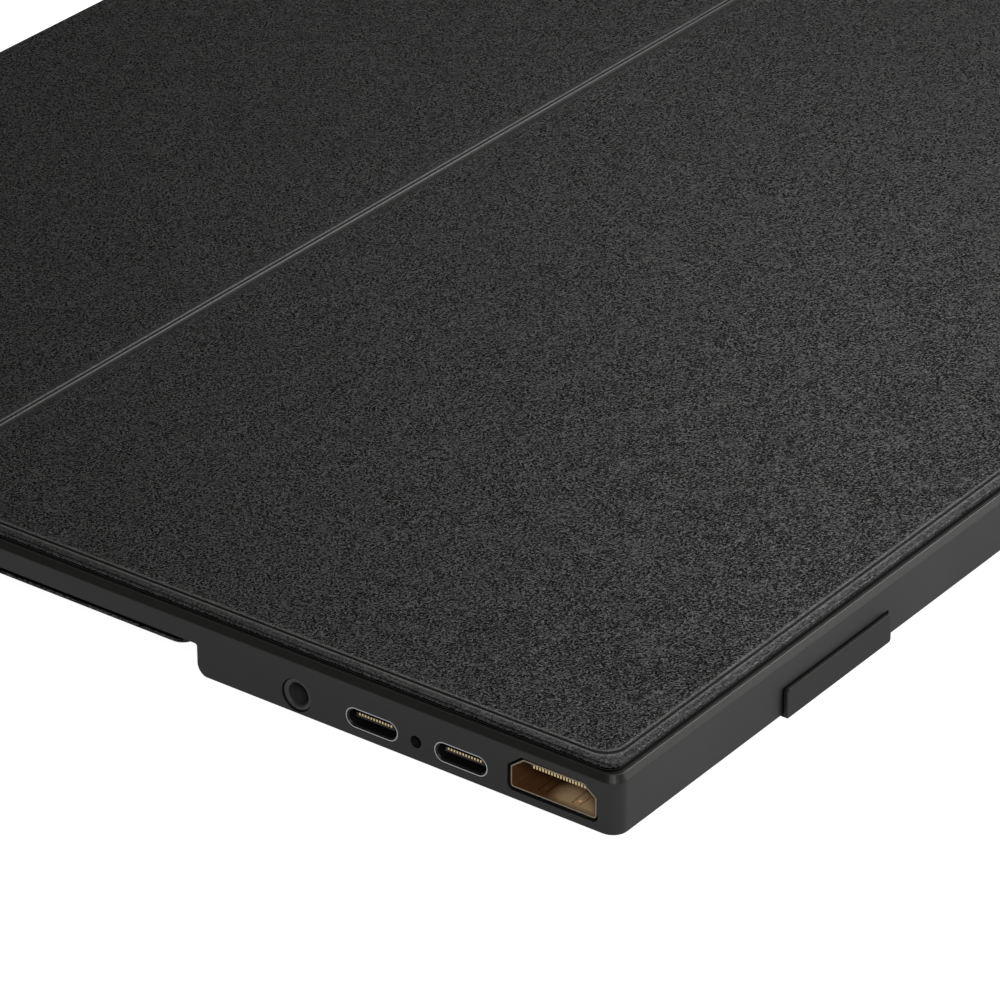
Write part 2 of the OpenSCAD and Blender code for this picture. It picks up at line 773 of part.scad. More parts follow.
module lower_board() {
    color("#1a1a1a") place() difference() {
        front_layer(0, crease_y - crease_gap - 0.5, body_h + lining_t, board_t);
        for (x = lower_magnet_x) slab(round_rect(x - 5.1, x + 5.1, 3.2, 8.2, 0.4), body_h, cover_top);
    }
}

module lower_magnets() {
    color("#9aa0a6") place() for (x = lower_magnet_x)
        slab(round_rect(x - 5, x + 5, 3.3, 8.1, 0.4), body_h + lining_t, body_h + lining_t + board_t);
}

module lower_lining() {
    color("#4a4a4c") place() front_layer(0, crease_y - crease_gap, body_h, lining_t);
}

// Spine strip between its lower and upper folds
spine_z0 = flap_fold_z + 0.5;
spine_z1 = cover_fold_z - 0.8;

module spine_layer(y, t, x) {
    block([-x, y, spine_z0], [x, y + t, spine_z1]);
}

module spine_leather() {
    color("#33322f") place() spine_layer(spine_y - leather_t, leather_t, cover_x);
}

module spine_board() {
    color("#1a1a1a") place() spine_layer(spine_y - leather_t * 2, leather_t, cover_x - layer_in);
}

module spine_lining() {
    color("#4a4a4c") place() spine_layer(body_d + spine_gap, lining_t, cover_x - layer_in);
}

// Leather of the back flap, round at its free edge and carried out to the fold
module flap_leather() {
    r = 0.5;
    color("#33322f") place() intersection() {
        along_x(-cover_x, cover_x * 2) polygon(concat(
            arc([flap_y0 + r, flap_z + r], r, 180, 270, 5), [[fold_y - fold_gap, flap_z],
            [fold_y - fold_gap, flap_z + leather_t], [flap_y0, flap_z + leather_t]]));
        slab(round_rect(-cover_x, cover_x, flap_y0, spine_y + 9, cover_r), flap_z - 1, thin_z);
    }
}

// Flat layer of the back flap
module flap_layer(z, t) {
    intersection() {
        slab(round_rect(layer_in - cover_x, cover_x - layer_in, flap_y0 + 0.2, spine_y + 9, cover_r), z, z + t);
        block([-body_w, 0, z - 1], [body_w, body_d - 0.2, z + t + 1]);
    }
}

flap_magnets_xy = [for (x = [-150, -80, 0, 80, 150]) for (y = [96, 204]) [x, y]];

module flap_board() {
    z = flap_z + leather_t;
    color("#1a1a1a") place() difference() {
        flap_layer(z, flap_board_t);
        for (p = flap_magnets_xy) block([p[0] - 8.1, p[1] - 3.1, z], [p[0] + 8.1, p[1] + 3.1, z + 2]);
    }
}

module flap_magnets() {
    z = flap_z + leather_t;
    color("#9aa0a6") place() for (p = flap_magnets_xy)
        block([p[0] - 8, p[1] - 3, z], [p[0] + 8, p[1] + 3, z + flap_board_t]);
}

module flap_lining() {
    color("#4a4a4c") place() flap_layer(thin_z - lining_t, lining_t);
}

rear_housing();
front_frame();
display_panel();
backlight();
led_bar();
panel_back_plate();
driver_board();
flex_cable();
main_board();
board_screws();
hdmi_shell();
hdmi_tongue();
hdmi_contacts();
usb_c_near_shell();
usb_c_near_tongue();
usb_c_near_contacts();
usb_c_far_shell();
usb_c_far_tongue();
usb_c_far_contacts();
audio_jack();
jack_springs();
status_light();
speaker_left();
speaker_right();
switch_board();
tact_switches();
key_bracket();
rocker_pin();
power_button();
menu_rocker();
foot_left();
foot_right();
housing_magnets();
frame_magnets();
flap_leather();
flap_board();
flap_magnets();
flap_lining();
spine_leather();
spine_board();
spine_lining();
upper_leather();
upper_board();
upper_lining();
lower_leather();
lower_board();
lower_magnets();
lower_lining();
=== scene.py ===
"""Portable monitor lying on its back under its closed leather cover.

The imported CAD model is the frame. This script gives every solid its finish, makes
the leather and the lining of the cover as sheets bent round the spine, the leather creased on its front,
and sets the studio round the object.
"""

import json
import math

import bpy
import numpy as np
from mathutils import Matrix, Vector


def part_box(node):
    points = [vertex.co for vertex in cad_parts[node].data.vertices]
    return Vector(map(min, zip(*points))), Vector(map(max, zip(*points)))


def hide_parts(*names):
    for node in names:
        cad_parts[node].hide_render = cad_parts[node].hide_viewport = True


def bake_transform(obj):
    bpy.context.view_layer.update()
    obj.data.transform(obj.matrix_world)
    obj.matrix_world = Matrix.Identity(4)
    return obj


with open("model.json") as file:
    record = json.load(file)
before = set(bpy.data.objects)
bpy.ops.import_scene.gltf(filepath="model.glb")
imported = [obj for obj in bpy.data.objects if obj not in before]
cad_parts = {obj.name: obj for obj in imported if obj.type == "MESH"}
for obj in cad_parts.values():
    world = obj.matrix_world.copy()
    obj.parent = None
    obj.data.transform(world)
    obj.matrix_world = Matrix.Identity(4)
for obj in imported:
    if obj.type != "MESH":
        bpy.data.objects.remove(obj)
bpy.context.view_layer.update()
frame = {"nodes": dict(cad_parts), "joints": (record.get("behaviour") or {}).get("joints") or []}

bl_info = {
    "name": "Portable monitor with cover",
    "version": (1, 0, 0),
    "blender": (4, 5, 0),
    "location": "View3D > Sidebar > Monitor",
    "description": "Finishes and soft cover of a portable monitor, round its CAD frame",
    "category": "Object",
}

MM = 0.001
NODES = frame["nodes"]


def linear(code):
    """An sRGB hex colour as linear red, green and blue."""
    parts = [int(code[i : i + 2], 16) / 255 for i in (1, 3, 5)]
    return tuple(c / 12.92 if c <= 0.04045 else ((c + 0.055) / 1.055) ** 2.4 for c in parts)


def length(name, description, default):
    """A length that the sidebar shows in scene units."""
    return bpy.props.FloatProperty(
        name=name, description=description, default=default, min=0.0, subtype="DISTANCE", unit="LENGTH",
        precision=5,
    )


def colour(name, description, code):
    """A colour swatch that starts from an sRGB hex value."""
    return bpy.props.FloatVectorProperty(
        name=name, description=description, default=linear(code), min=0.0, max=1.0, size=3, subtype="COLOR"
    )


class MonitorCoverSizes(bpy.types.PropertyGroup):
    """Sizes of the leather cover"""

    leather: length("Leather", "Thickness of the leather", 0.6 * MM)
    lining: length("Lining", "Thickness of the microfibre lining", 0.3 * MM)
    inset: length("Board inset", "How far board and lining stop short of the leather's edge", 0.25 * MM)
    corner: length("Corner radius", "Radius of the cover's free corners", 2.2 * MM)
    border_in: length("Border line inset", "Distance of the pressed border line from the edge", 1.75 * MM)
    border_depth: length("Border line depth", "Depth of the pressed border line", 0.06 * MM)
    crease_depth: length("Crease depth", "Depth of the pressed crease", 0.3 * MM)
    grain: length("Grain size", "Width of one wrinkle of the leather's grain", 0.38 * MM)


class MonitorColours(bpy.types.PropertyGroup):
    """Colours of the monitor's finishes"""

    leather: colour("Leather", "Pigment coat of the leather", "#1d1c1b")
    housing: colour("Housing", "Moulded rear housing and keys", "#222221")
    bezel: colour("Bezel", "Moulded front frame with its sloped rim", "#2a2a28")
    lining: colour("Lining", "Microfibre inside the cover", "#3a3a3c")
    board: colour("Board", "Dyed edge of the stiffening board", "#040404")
    rubber: colour("Feet", "Silicone rubber feet", "#212120")
    socket: colour("Video socket", "Gold-coloured plating of the video socket's shell", "#ffdcaa")


class MonitorStudio(bpy.types.PropertyGroup):
    """Sizes of the studio round the object"""

    floor: length("Floor", "Diameter of the floor", 12.0)
    lens: bpy.props.FloatProperty(
        name="Lens", description="Focal length in millimetres", default=194.615, min=1.0
    )


# ---- Node and mesh tools -------------------------------------------------


def add(tree, kind, inputs=None, out=0, **settings):
    """Adds a shader node with its settings, values and links, and returns one of its live outputs."""
    node = tree.nodes.new("ShaderNode" + kind)
    for key, value in settings.items():
        setattr(node, key, value)
    for key, value in (inputs or {}).items():
        socket = next(s for s in node.inputs if s.enabled and key in (s.identifier, s.name))
        if isinstance(value, bpy.types.NodeSocket):
            tree.links.new(value, socket)
        else:
            socket.default_value = value
    live = [s for s in node.outputs if s.enabled]
    return live[out] if isinstance(out, int) else next(s for s in live if s.name == out)


def material(name):
    """An empty procedural material with its output, and the object's own coordinates in metres."""
    made = bpy.data.materials.new(name)
    made.use_nodes = True
    made.node_tree.nodes.clear()
    output = made.node_tree.nodes.new("ShaderNodeOutputMaterial")
    coord = add(made.node_tree, "TexCoord", out="Object")
    return made, made.node_tree, output.inputs["Surface"], coord


def shade(tree, surface, inputs):
    """Ends a material in one principled shader."""
    tree.links.new(add(tree, "BsdfPrincipled", inputs), surface)


def mottle(tree, coord, size, code, spread):
    """A colour that drifts by spread round its own value over patches of a size in metres."""
    patches = add(
        tree, "TexNoise", {"Vector": coord, "Scale": 1 / size, "Detail": 3.0, "Roughness": 0.6}, "Fac")
    low = [c * (1 - spread) for c in code] + [1.0]
    high = [c * (1 + spread) for c in code] + [1.0]
    return add(
        tree, "Mix", {"Factor_Float": patches, "A_Color": low, "B_Color": high}, data_type="RGBA",
        clamp_factor=True,
    )


def grain_bump(tree, coord, size, depth, detail=2.0, normal=None):
    """A fine moulded or blasted texture: noise of a grain size and depth in metres."""
    height = add(
        tree, "TexNoise", {"Vector": coord, "Scale": 1 / size, "Detail": detail, "Roughness": 0.55}, "Fac")
    inputs = {"Height": height, "Strength": 1.0, "Distance": depth}
    if normal is not None:
        inputs["Normal"] = normal
    return add(tree, "Bump", inputs)


def mesh_piece(name, points, faces, *finishes, sharp=40.0):
    """A smooth-shaded mesh object whose creases over a given angle stay sharp."""
    data = bpy.data.meshes.new(name)
    data.from_pydata([tuple(p) for p in points], [], faces)
    data.shade_smooth()
    data.set_sharp_from_angle(angle=math.radians(sharp))
    for finish in finishes:
        data.materials.append(finish)
    made = bpy.data.objects.new(name, data)
    bpy.context.scene.collection.objects.link(made)
    return made


def dress(finish, *names):
    """Gives CAD solids a finish."""
    for name in names:
        slots = NODES[name].data.materials
        for i in range(len(slots)):
            slots[i] = finish
        if not len(slots):
            slots.append(finish)


# ---- Materials -----------------------------------------------------------


def pu_leather():
    """Coated polyurethane leather, roller-embossed: fine drawn-out wrinkles whose raised coat shines, over
    furrows that stay dull. The furrows get painted shade and the crests a painted highlight."""
    sizes, colours = bpy.context.scene.monitor_cover, bpy.context.scene.monitor_colours
    made, tree, surface, coord = material("embossed_pu_leather")
    cell = sizes.grain
    # In the noise's own heights: where a furrow is darkest, and the top of a ridge
    furrow, ridge = -0.04, 0.07
    # How much longer than wide a wrinkle is, and which way the roller has drawn it out
    draw, slant = 1.6, math.radians(-45)
    # A wider noise bends the wrinkles: its grain and its reach, in widths of a wrinkle
    sway_grain, sway = 2.5, 0.6
    patch = 5 * MM
    # From the lowest furrow to the highest ridge is about a fifth of this distance
    relief_depth = 0.45 * MM
    pressed_tone = 0.35
    drift = add(tree, "TexNoise", {"Vector": coord, "Scale": 1 / (cell * sway_grain), "Detail": 1.0}, "Color")
    centred = add(tree, "VectorMath", {"Vector": drift, "Vector_001": (0.5, 0.5, 0.5)}, operation="SUBTRACT")
    bent = add(
        tree, "VectorMath", {"Vector": centred, "Vector_001": (cell * sway,) * 3, "Vector_002": coord},
        operation="MULTIPLY_ADD",
    )
    drawn = add(
        tree, "Mapping", {"Vector": bent, "Rotation": (0.0, 0.0, slant), "Scale": (draw, 1.0, 1.0)},
        vector_type="TEXTURE",
    )
    wrinkle = add(
        tree, "TexNoise", {"Vector": drawn, "Scale": 1 / cell, "Detail": 1.0, "Roughness": 0.5}, "Fac")
    level = add(tree, "Math", {"Value": wrinkle, "Value_001": 0.5}, operation="SUBTRACT")
    # Folded about its middle, the noise becomes thin sharp ridges between rounded furrows
    fold = add(tree, "Math", {"Value": level}, operation="ABSOLUTE")
    raw = add(tree, "Math", {"Value": ridge, "Value_001": fold}, operation="SUBTRACT")
    # The hide it copies is smoother in patches
    patches = add(tree, "TexNoise", {"Vector": coord, "Scale": 1 / patch, "Detail": 1.0}, "Fac")
    share = add(
        tree, "MapRange",
        {"Value": patches, "From Min": 0.35, "From Max": 0.6, "To Min": 0.55, "To Max": 1.0},
    )
    height = add(tree, "Math", {"Value": raw, "Value_001": share}, operation="MULTIPLY")
    # The tools that press the crease and the border line leave the grain flatter there
    press = add(tree, "Attribute", out="Fac", attribute_name="press")
    kept = add(tree, "MapRange", {"Value": press, "To Min": 1.0, "To Max": 0.0})
    relief = add(tree, "Bump", {"Height": height, "Strength": kept, "Distance": relief_depth})
    crest = add(
        tree, "MapRange", {"Value": height, "From Min": furrow, "From Max": ridge},
        interpolation_type="SMOOTHSTEP",
    )
    raised = add(
        tree, "Mix", {"Factor_Float": press, "A_Float": crest, "B_Float": pressed_tone}, data_type="FLOAT")
    # Painted shade and highlight: the furrows are painted darker than the leather, the crests paler
    tone = add(
        tree, "Mix", {"Factor_Float": raised, "A_Color": [c * 0.45 for c in colours.leather] + [1.0],
                      "B_Color": mottle(tree, coord, 18 * MM, [c * 2.5 for c in colours.leather], 0.06)},
        data_type="RGBA",
    )
    # Painted highlight: the lips beside each pressed line are painted pale and made shinier. Painted shade:
    # the bottom of each line is painted nearly black and made dull.
    lip_highlight_and_gloss = add(tree, "Attribute", out="Fac", attribute_name="painted_highlight_and_gloss")
    tone = add(
        tree, "Mix", {"Factor_Float": lip_highlight_and_gloss, "A_Color": tone, "B_Color": (*linear("#545351"), 1.0)},
        data_type="RGBA",
    )
    painted_shade_share = add(tree, "Attribute", out="Fac", attribute_name="painted_shade_and_dull")
    tone = add(
        tree, "Mix", {"Factor_Float": painted_shade_share, "A_Color": tone, "B_Color": (*linear("#0c0c0c"), 1.0)},
        data_type="RGBA",
    )
    gloss = add(tree, "MapRange", {"Value": raised, "To Min": 0.04, "To Max": 1.0})
    gloss = add(
        tree, "Math", {"Value": lip_highlight_and_gloss, "Value_001": 0.7, "Value_002": gloss}, operation="MULTIPLY_ADD",
        use_clamp=True,
    )
    # The painted shade also takes most of the coat's gloss away
    gloss_left = add(tree, "MapRange", {"Value": painted_shade_share, "To Min": 1.0, "To Max": 0.15})
    gloss = add(tree, "Math", {"Value": gloss, "Value_001": gloss_left}, operation="MULTIPLY")
    # Handling polishes the raised coat
    worn = add(tree, "MapRange", {"Value": raised, "To Min": 0.46, "To Max": 0.36})
    shade(tree, surface, {
        "Base Color": tone, "Roughness": worn, "Specular IOR Level": gloss, "IOR": 1.56, "Normal": relief})
    return made


def edge_paint_and_painted_shade():
    """Black edge paint on the lining's cut edges: dull, with the fibres under it showing faintly. Its black
    also stands for the shade under the leather's edge: painted shade.
    """
    made, tree, surface, coord = material("black_edge_paint_and_painted_shade")
    fibres = grain_bump(tree, coord, 0.3 * MM, 0.02 * MM, 3.0)
    shade(tree, surface, {
        "Base Color": mottle(tree, coord, 1.2 * MM, linear("#040404"), 0.3), "Roughness": 0.9,
        "Specular IOR Level": 0.04, "Normal": fibres})
    return made


def microfibre():
    """Knitted microfibre, brushed: a matt nap with a pale bloom at low angles."""
    made, tree, surface, coord = material("brushed_microfibre")
    base = bpy.context.scene.monitor_colours.lining
    # Nap tufts of a tenth of a millimetre, drawn at 0.35 mm so that they show
    nap = grain_bump(tree, coord, 0.35 * MM, 0.06 * MM, 4.0)
    shade(tree, surface, {
        "Base Color": mottle(tree, coord, 6 * MM, base, 0.18), "Roughness": 0.95, "Sheen Weight": 0.35,
        "Sheen Roughness": 0.5, "Normal": nap, "Specular IOR Level": 0.2,
    })
    return made


def dyed_board():
    """Pressed fibre board with a dyed edge: dull black with short fibres."""
    made, tree, surface, coord = material("dyed_fibre_board")
    fibres = grain_bump(tree, coord, 0.25 * MM, 0.03 * MM, 3.0)
    shade(tree, surface, {
        "Base Color": mottle(tree, coord, 1.5 * MM, bpy.context.scene.monitor_colours.board, 0.3),
        "Roughness": 0.9, "Specular IOR Level": 0.04, "Normal": fibres,
    })
    return made


def moulded_abs(name, base, roughness, worn=0.0):
    """Injection-moulded ABS from a spark-eroded tool: satin, with a grit that softens its reflections. Given
    a strength worn, the edge between its top and its sloped rim is painted pale: a painted highlight."""
    made, tree, surface, coord = material(name)
    eased = add(tree, "Bevel", {"Radius": 0.12 * MM}, samples=4)
    # Grit of 0.05 mm, drawn at 0.16 mm so that it shows
    grit = grain_bump(tree, coord, 0.16 * MM, 0.004 * MM, 2.0, eased)
    cloud = add(tree, "TexNoise", {"Vector": coord, "Scale": 1 / (22 * MM), "Detail": 2.0}, "Fac")
    rough = add(tree, "MapRange", {
        "Value": cloud, "From Min": 0.3, "From Max": 0.7,
        "To Min": roughness - 0.03, "To Max": roughness + 0.03})
    tone = mottle(tree, coord, 9 * MM, base, 0.04)
    if worn:
        # Rounded over 0.2 mm, that edge leans between the level top and the rim, which slopes at about 45
        # degrees. How far its normal points up tells it from both: the painted highlight starts, is full, and
        # ends.
        start, full, past, top = 0.78, 0.86, 0.93, 0.99
        broad = add(tree, "Bevel", {"Radius": 0.2 * MM}, samples=8)
        up = add(tree, "SeparateXYZ", {"Vector": broad}, "Z")
        low = add(tree, "MapRange", {"Value": up, "From Min": start, "From Max": full})
        high = add(
            tree, "MapRange", {"Value": up, "From Min": past, "From Max": top, "To Min": worn, "To Max": 0.0})
        edge = add(tree, "Math", {"Value": low, "Value_001": high}, operation="MULTIPLY")
        # Painted highlight: the edge is painted paler, towards #6a6a68
        tone = add(
            tree, "Mix", {"Factor_Float": edge, "A_Color": tone, "B_Color": (*linear("#6a6a68"), 1.0)},
            data_type="RGBA",
        )
    shade(tree, surface, {"Base Color": tone, "Roughness": rough, "IOR": 1.52, "Normal": grit})
    return made


def silicone_rubber():
    """Moulded silicone rubber: matt, a little dusty, with soft edges and a painted shadow at its root."""
    made, tree, surface, coord = material("moulded_silicone_rubber")
    eased = add(tree, "Bevel", {"Radius": 0.45 * MM}, samples=8)
    dust = grain_bump(tree, coord, 0.2 * MM, 0.004 * MM, 3.0, eased)
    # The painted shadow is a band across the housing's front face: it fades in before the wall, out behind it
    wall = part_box("rear_housing")[0].y
    shadow_from, shadow_full, shadow_full_to, shadow_to = (wall + d * MM for d in (-0.16, -0.09, 0.02, 0.1))
    y = add(tree, "SeparateXYZ", {"Vector": coord}, "Y")
    start = add(tree, "MapRange", {"Value": y, "From Min": shadow_from, "From Max": shadow_full})
    end = add(tree, "MapRange", {
        "Value": y, "From Min": shadow_full_to, "From Max": shadow_to, "To Min": 1.0, "To Max": 0.0})
    root_painted_shadow = add(tree, "Math", {"Value": start, "Value_001": end}, operation="MULTIPLY")
    tone = add(
        tree, "Mix", {"Factor_Float": root_painted_shadow, "B_Color": (*linear("#030303"), 1.0),
                      "A_Color": mottle(tree, coord, 3 * MM, bpy.context.scene.monitor_colours.rubber, 0.08)},
        data_type="RGBA",
    )
    # The painted shadow is also left almost without gloss
    gloss = add(tree, "MapRange", {"Value": root_painted_shadow, "To Min": 0.5, "To Max": 0.02})
    shade(tree, surface, {
        "Base Color": tone, "Roughness": 0.52, "Specular IOR Level": gloss, "IOR": 1.43, "Normal": dust})
    return made


def plated_metal(name, code, roughness, streak):
    """Rolled sheet with a plated finish: fine rolling lines stretch its highlights."""
    made, tree, surface, coord = material(name)
    along = add(tree, "VectorMath", {"Vector": coord, "Vector_001": (0.12, 1.0, 1.0)}, operation="MULTIPLY")
    lines = add(tree, "TexNoise", {"Vector": along, "Scale": 1 / streak, "Detail": 3.0}, "Fac")
    rough = add(tree, "MapRange", {
        "Value": lines, "From Min": 0.3, "From Max": 0.7,
        "To Min": roughness * 0.8, "To Max": roughness * 1.25})
    rolled = add(tree, "Bump", {"Height": lines, "Strength": 1.0, "Distance": 0.002 * MM})
    shade(tree, surface, {
        "Base Color": mottle(tree, coord, 2 * MM, linear(code), 0.06),
        "Metallic": 1.0, "Roughness": rough, "Normal": rolled})
    return made


def gilt_socket():
    """Gold flash over a blasted steel shell: it scatters most of its light like a matt body. It is bare on
    the sheet's cut edge. Inside, one side is painted pale gold as a painted pool of light, the other brown as
    painted shade."""
    made, tree, surface, coord = material("blasted_gold_plated_shell")
    gold = bpy.context.scene.monitor_colours.socket
    x, y = (add(tree, "SeparateXYZ", {"Vector": coord}, axis) for axis in ("X", "Y"))
    low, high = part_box("hdmi_shell")
    wide = high.y - low.y
    cloud = add(tree, "TexNoise", {"Vector": coord, "Scale": 1 / (1.5 * MM), "Detail": 3.0}, "Fac")
    moved = add(
        tree, "Math", {"Value": cloud, "Value_001": 1.6 * MM, "Value_002": y}, operation="MULTIPLY_ADD")
    # Shares of the shell's width at which the painted light starts and is full
    light_starts, full = (high.y - wide * share for share in (0.30, 0.52))
    side = add(
        tree, "MapRange", {"Value": moved, "From Min": light_starts, "From Max": full},
        interpolation_type="SMOOTHSTEP",
    )
    mouth = add(
        tree, "MapRange", {"Value": x, "From Min": low.x + 0.2 * MM, "From Max": low.x + 1.3 * MM},
        interpolation_type="SMOOTHSTEP",
    )
    # Painted light: the pale gold is painted at half its brightness near the mouth, full further in
    thick = add(tree, "Mix", {"Factor_Float": mouth, "A_Color": [c * 0.5 for c in gold] + [1.0],
                              "B_Color": mottle(tree, coord, 2 * MM, gold, 0.06)}, data_type="RGBA")
    # Painted shade: the other side of the shell is painted brown
    tone = add(tree, "Mix", {"Factor_Float": side, "A_Color": (*linear("#7a5433"), 1.0), "B_Color": thick},
               data_type="RGBA")
    cut = add(tree, "MapRange", {"Value": x, "From Min": low.x + 0.03 * MM, "From Max": low.x + 0.06 * MM})
    tone = add(tree, "Mix", {"Factor_Float": cut, "A_Color": (*linear("#b9ad98"), 1.0), "B_Color": tone},
               data_type="RGBA")
    lines = grain_bump(tree, coord, 0.3 * MM, 0.002 * MM, 3.0)
    shade(tree, surface, {"Base Color": tone, "Metallic": 0.15, "Roughness": 0.4, "Normal": lines})
    return made


def filled_polymer(name, code, roughness):
    """Filled plastic of the connectors, speaker boxes, light guide and flat cable: satin, faintly flecked."""
    made, tree, surface, coord = material(name)
    flecks = grain_bump(tree, coord, 0.12 * MM, 0.004 * MM)
    shade(tree, surface, {
        "Base Color": mottle(tree, coord, 0.8 * MM, linear(code), 0.12), "Roughness": roughness, "IOR": 1.55,
        "Normal": flecks})
    return made


def lcd_surface():
    """Liquid crystal panel, switched off, under a matt polariser: blue-black inside a blacker margin."""
    made, tree, surface, coord = material("matt_lcd_polariser")
    x, y = (add(tree, "SeparateXYZ", {"Vector": coord}, axis) for axis in ("X", "Y"))
    # Inside the panel's border and a printed margin lies the picture. It sits off the panel's middle.
    low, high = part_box("display_panel")
    border, margin, picture_depth, rise = 2.5 * MM, 0.6 * MM, 193.6 * MM, 1.2 * MM
    half_x, half_y = high.x - border - margin, picture_depth / 2 - margin
    middle_y = (low.y + high.y) / 2 + rise
    middle = add(tree, "Math", {"Value": y, "Value_001": middle_y}, operation="SUBTRACT")
    out_x, out_y = (add(tree, "Math", {"Value": v}, operation="ABSOLUTE") for v in (x, middle))
    in_x = add(tree, "Math", {"Value": out_x, "Value_001": half_x}, operation="LESS_THAN")
    in_y = add(tree, "Math", {"Value": out_y, "Value_001": half_y}, operation="LESS_THAN")
    lit = add(tree, "Math", {"Value": in_x, "Value_001": in_y}, operation="MULTIPLY")
    base = add(tree, "Mix", {"Factor_Float": lit, "A_Color": (*linear("#050506"), 1.0),
                             "B_Color": (*linear("#0e1014"), 1.0)}, data_type="RGBA")
    # Anti-glare grit of 0.02 mm, drawn at 0.12 mm so that it shows
    haze = grain_bump(tree, coord, 0.12 * MM, 0.0015 * MM)
    shade(tree, surface, {"Base Color": base, "Roughness": 0.3, "IOR": 1.5, "Normal": haze,
                          "Coat Weight": 0.3, "Coat Roughness": 0.35})
    return made


def smoked_acrylic():
    """Moulded acrylic light pipe, smoked: glossy and nearly black."""
    made, tree, surface, coord = material("smoked_acrylic")
    ripple = grain_bump(tree, coord, 0.5 * MM, 0.004 * MM)
    shade(tree, surface, {
        "Base Color": mottle(tree, coord, 0.6 * MM, linear("#151517"), 0.15), "Roughness": 0.2, "IOR": 1.49,
        "Normal": ripple})
    return made


def fibreglass_board():
    """FR-4 circuit board under green solder mask: glossy over a faint weave of glass cloth."""
    made, tree, surface, coord = material("solder_masked_fibreglass")
    weave = add(tree, "TexWave", {"Vector": coord, "Scale": 1 / (1.2 * MM), "Distortion": 0.4}, "Fac",
                bands_direction="X")
    cloth = add(tree, "Bump", {"Height": weave, "Strength": 1.0, "Distance": 0.004 * MM})
    shade(tree, surface, {
        "Base Color": mottle(tree, coord, 2.5 * MM, linear("#1b5a38"), 0.25), "Roughness": 0.35, "IOR": 1.55,
        "Normal": cloth})
    return made


def neodymium():
    """Nickel-plated magnet: grey metal with soft, broad lines in its plating."""
    return plated_metal("nickel_plated_magnet", "#9aa0a6", 0.3, 0.6 * MM)


# ---- Cover sheets --------------------------------------------------------

# Places in a side view of the cover, in millimetres: its fold axes and the leather's outer faces
FOLDS = {joint["name"]: [c / MM for c in joint.get("pos_m", (0, 0, 0))] for joint in frame["joints"]}
FLAP_Y, FLAP_Z = (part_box("flap_leather")[0][i] / MM for i in (1, 2))
FRONT_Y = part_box("lower_leather")[0].y / MM
HALF_X, TOP_Z = (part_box("lower_leather")[1][i] / MM for i in (0, 2))
SPINE_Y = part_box("spine_leather")[1].y / MM
CREASE_Y = FOLDS["crease_fold"][1]
# Where one sheet ends and the next begins: on the spine, and on the upper panel
SPINE_SEAM_Z = (FOLDS["spine_fold"][2] + FOLDS["cover_fold"][2]) / 2
PANEL_SEAM_Y = 84.0
# Radii of the bends at the spine, and how far the lining's flap stops short of the leather's
LEATHER_BEND, LINING_BEND = 0.7, 0.8
LINING_SHORT = 0.2
# Stands for the distance to a free edge on a row that has none
FAR = 1e3
# Columns nearer than this to a side edge are the ones that the round corners move
CORNER_REACH = 50

# Distances from an edge at which the mesh has lines, in millimetres
EDGE_STEPS = [
    0, 0.02, 0.06, 0.12, 0.19, 0.27, 0.42, 0.62, 0.85, 1.08, 1.25, 1.38, 1.48, 1.57, 1.66, 1.75, 1.84, 1.93,
    2.02, 2.12, 2.25, 2.45, 2.75, 3.1, 3.5, 4.0, 4.6, 5.3, 6.2, 7.5, 9.5, 13,
]
# Distances from the crease at which the mesh has lines, in millimetres
CREASE_STEPS = [
    0, 0.05, 0.1, 0.15, 0.2, 0.26, 0.32, 0.38, 0.45, 0.53, 0.63, 0.76, 0.92, 1.1, 1.3, 1.55, 1.8, 2.1, 2.5,
    3, 4, 6,
]

# The lines pressed into the front leather, in millimetres. A width is the distance from its middle at which
# a hump or a hollow has fallen to about a third.
LEATHER_EASE, LINING_EASE = 0.2, 0.1
BORDER_WIDTH, BORDER_LIP_OUT, BORDER_LIP_WIDTH, BORDER_LIP_HEIGHT = 0.18, 0.46, 0.17, 0.05
# The border line ends this far from the outside of the spine, and fades out over this length
BORDER_END, BORDER_FADE = 4.6, 4.0
# The strip outside the border line ends this far from it, and falls away this much towards the edge
STRIP_GAP, STRIP_FALL = 0.3, 0.02
CREASE_WIDTH, CREASE_LIP_OUT, CREASE_LIP_HEIGHT = 0.14, 0.43, 0.09
VALLEY_OUT, VALLEY_WIDTH, VALLEY_DEPTH = 1.25, 0.45, 0.07


def spread(start, stop, step):
    """Even values between two ends, both left out, no further apart than step."""
    count = max(1, math.ceil(abs(stop - start) / step))
    return [start + (stop - start) * i / count for i in range(1, count)]


def columns(half):
    """X of the sheet's lengthwise lines, and how far each is from the nearer side edge, in millimetres."""
    near = [-half + d for d in EDGE_STEPS]
    xs = near + spread(near[-1], -near[-1], 11.0) + [-x for x in reversed(near)]
    return [(x, half - abs(x)) for x in xs]


def straight(ya, yb, z, n, free_at=None, crease=None, step=9.0):
    """Rows along a flat stretch, as (y, z, normal y, normal z, distance to the free edge)."""
    marks = {round(ya, 4), round(yb, 4)}
    if free_at is not None:
        way = 1 if yb > ya else -1
        inward = 1 if free_at == ya else -1
        marks |= {round(free_at + way * inward * d, 4) for d in EDGE_STEPS}
    if crease is not None:
        marks |= {round(crease + s * d, 4) for d in CREASE_STEPS for s in (-1, 1)}
    low, high = min(ya, yb), max(ya, yb)
    kept = sorted(m for m in marks if low <= m <= high)
    full = []
    for a, b in zip(kept, kept[1:]):
        full += [a] + spread(a, b, step)
    full.append(kept[-1])
    if yb < ya:
        full.reverse()
    return [(y, z, 0.0, n, abs(y - free_at) if free_at is not None else FAR) for y in full]


